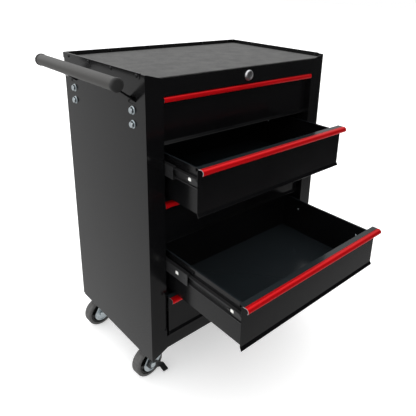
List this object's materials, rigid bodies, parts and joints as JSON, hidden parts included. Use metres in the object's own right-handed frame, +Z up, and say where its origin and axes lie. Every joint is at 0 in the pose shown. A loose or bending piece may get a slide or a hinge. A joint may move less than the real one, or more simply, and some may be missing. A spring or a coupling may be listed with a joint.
{
  "type": "rolling tool chest",
  "caption": "Rolling steel tool chest: drawers with red edge pulls on ball-bearing slides, a matted top with a raised rim, a central lock, a side push handle and swivel casters.",
  "frame": {"origin": "on the floor under the middle of the cabinet's width and depth", "axes": "+X to the viewer's right, -Y towards the front where the drawers open, +Z up"},
  "size_m": [0.6015, 0.584, 0.7485],
  "materials": {
    "black_paint": "glossy black powder coat on sheet steel",
    "black_screw": "blackened screw heads",
    "mat": "matt grained mat",
    "slide_steel": "black-coated rolled steel",
    "pull_red": "red anodised extrusion with bare cut ends",
    "handle_grey": "satin grey-black tube",
    "black_plastic": "moulded",
    "zinc": "bright blue zinc plate",
    "chrome": "polished",
    "hub_plastic": "moulded black",
    "tread_rubber": "dark grey rubber",
    "brake_black": "black-coated lever"
  },
  "bodies": {
    "chest": {"side_left": "black_paint", "side_right": "black_paint", "back_panel": "black_paint", "top_tray": "black_paint", "top_mat": "mat", "lock_fascia": "black_paint", "front_skirt": "black_paint", "base_pan": "black_paint", "rear_uprights": "black_paint", "rim_screws": "black_screw", "slide_outers": "slide_steel", "handle_tube": "handle_grey", "handle_caps": "black_plastic", "handle_arms": "black_paint", "handle_bolts": "zinc", "lock_housing": "chrome", "lock_guides": "zinc", "caster_plates": "zinc", "caster_bolts": "zinc"},
    "lock_cylinder": {"lock_plug": "chrome", "lock_rod": "zinc"},
    "lock_slider": {"lock_bar": "zinc"},
    "drawer_unit_1": {"drawer_1": "black_paint", "pull_1": "pull_red", "slide_inner_1": "slide_steel"},
    "slide_unit_1": {"slide_mid_1": "slide_steel"},
    "drawer_unit_2": {"drawer_2": "black_paint", "pull_2": "pull_red", "slide_inner_2": "slide_steel"},
    "slide_unit_2": {"slide_mid_2": "slide_steel"},
    "drawer_unit_3": {"drawer_3": "black_paint", "pull_3": "pull_red", "slide_inner_3": "slide_steel"},
    "slide_unit_3": {"slide_mid_3": "slide_steel"},
    "drawer_unit_4": {"drawer_4": "black_paint", "pull_4": "pull_red", "slide_inner_4": "slide_steel"},
    "slide_unit_4": {"slide_mid_4": "slide_steel"},
    "drawer_unit_5": {"drawer_5": "black_paint", "pull_5": "pull_red", "slide_inner_5": "slide_steel"},
    "slide_unit_5": {"slide_mid_5": "slide_steel"},
    "swivel_front_left": {"fork_front_left": "zinc", "axle_front_left": "zinc"},
    "wheel_front_left": {"hub_front_left": "hub_plastic", "tyre_front_left": "tread_rubber"},
    "pedal_front_left": {"brake_front_left": "brake_black"},
    "swivel_front_right": {"fork_front_right": "zinc", "axle_front_right": "zinc"},
    "wheel_front_right": {"hub_front_right": "hub_plastic", "tyre_front_right": "tread_rubber"},
    "pedal_front_right": {"brake_front_right": "brake_black"},
    "swivel_rear_left": {"fork_rear_left": "zinc", "axle_rear_left": "zinc"},
    "wheel_rear_left": {"hub_rear_left": "hub_plastic", "tyre_rear_left": "tread_rubber"},
    "swivel_rear_right": {"fork_rear_right": "zinc", "axle_rear_right": "zinc"},
    "wheel_rear_right": {"hub_rear_right": "hub_plastic", "tyre_rear_right": "tread_rubber"}
  },
  "joints": [
    {"name": "lock_turn", "type": "hinge", "parent": "chest", "child": "lock_cylinder", "pos_m": [0, -0.1665, 0.72], "axis": [0, 1, 0], "range_deg": [0, 90.01]},
    {"name": "lock_lift", "type": "slide", "parent": "chest", "child": "lock_slider", "axis": [0, 0, 1], "range_m": [0, 0.012]},
    {"name": "drawer_1_slide", "type": "slide", "parent": "chest", "child": "drawer_unit_1", "axis": [0, -1, 0], "range_m": [0, 0.254]},
    {"name": "slide_1_middle", "type": "slide", "parent": "chest", "child": "slide_unit_1", "axis": [0, -1, 0], "range_m": [-0.00001, 0.09145]},
    {"name": "drawer_2_slide", "type": "slide", "parent": "chest", "child": "drawer_unit_2", "axis": [0, -1, 0], "range_m": [-0.117, 0.137]},
    {"name": "slide_2_middle", "type": "slide", "parent": "chest", "child": "slide_unit_2", "axis": [0, -1, 0], "range_m": [-0.04213, 0.04933]},
    {"name": "drawer_3_slide", "type": "slide", "parent": "chest", "child": "drawer_unit_3", "axis": [0, -1, 0], "range_m": [0, 0.254]},
    {"name": "slide_3_middle", "type": "slide", "parent": "chest", "child": "slide_unit_3", "axis": [0, -1, 0], "range_m": [-0.00001, 0.09145]},
    {"name": "drawer_4_slide", "type": "slide", "parent": "chest", "child": "drawer_unit_4", "axis": [0, -1, 0], "range_m": [-0.246, 0.008]},
    {"name": "slide_4_middle", "type": "slide", "parent": "chest", "child": "slide_unit_4", "axis": [0, -1, 0], "range_m": [-0.08857, 0.00289]},
    {"name": "drawer_5_slide", "type": "slide", "parent": "chest", "child": "drawer_unit_5", "axis": [0, -1, 0], "range_m": [-0.021, 0.233]},
    {"name": "slide_5_middle", "type": "slide", "parent": "chest", "child": "slide_unit_5", "axis": [0, -1, 0], "range_m": [-0.00757, 0.08389]},
    {"name": "swivel_front_left", "type": "hinge", "parent": "chest", "child": "swivel_front_left", "pos_m": [-0.2105, -0.0995, 0.08], "axis": [0, 0, 1], "continuous": true},
    {"name": "wheel_front_left", "type": "hinge", "parent": "swivel_front_left", "child": "wheel_front_left", "pos_m": [-0.23843, -0.10145, 0.0375], "axis": [-0.0698, 0.9976, 0], "continuous": true},
    {"name": "brake_front_left", "type": "hinge", "parent": "swivel_front_left", "child": "pedal_front_left", "pos_m": [-0.23843, -0.10145, 0.0375], "axis": [-0.0698, 0.9976, 0], "range_deg": [-20, 0]},
    {"name": "swivel_front_right", "type": "hinge", "parent": "chest", "child": "swivel_front_right", "pos_m": [0.2105, -0.0995, 0.08], "axis": [0, 0, 1], "continuous": true},
    {"name": "wheel_front_right", "type": "hinge", "parent": "swivel_front_right", "child": "wheel_front_right", "pos_m": [0.18277, -0.1034, 0.0375], "axis": [-0.1392, 0.9903, 0], "continuous": true},
    {"name": "brake_front_right", "type": "hinge", "parent": "swivel_front_right", "child": "pedal_front_right", "pos_m": [0.18277, -0.1034, 0.0375], "axis": [-0.1392, 0.9903, 0], "range_deg": [-20, 0]},
    {"name": "swivel_rear_left", "type": "hinge", "parent": "chest", "child": "swivel_rear_left", "pos_m": [-0.2105, 0.1385, 0.08], "axis": [0, 0, 1], "continuous": true},
    {"name": "wheel_rear_left", "type": "hinge", "parent": "swivel_rear_left", "child": "wheel_rear_left", "pos_m": [-0.2385, 0.13801, 0.0375], "axis": [-0.0175, 0.9998, 0], "continuous": true},
    {"name": "swivel_rear_right", "type": "hinge", "parent": "chest", "child": "swivel_rear_right", "pos_m": [0.2105, 0.1385, 0.08], "axis": [0, 0, 1], "continuous": true},
    {"name": "wheel_rear_right", "type": "hinge", "parent": "swivel_rear_right", "child": "wheel_rear_right", "pos_m": [0.18265, 0.14143, 0.0375], "axis": [0.1045, 0.9945, 0], "continuous": true}
  ],
  "couplings": [
    {"joint": "lock_turn", "follows": "lock_lift", "rad_per_m": 130.9},
    {"joint": "slide_1_middle", "follows": "drawer_1_slide", "ratio": 0.36},
    {"joint": "slide_2_middle", "follows": "drawer_2_slide", "ratio": 0.36},
    {"joint": "slide_3_middle", "follows": "drawer_3_slide", "ratio": 0.36},
    {"joint": "slide_4_middle", "follows": "drawer_4_slide", "ratio": 0.36},
    {"joint": "slide_5_middle", "follows": "drawer_5_slide", "ratio": 0.36}
  ]
}
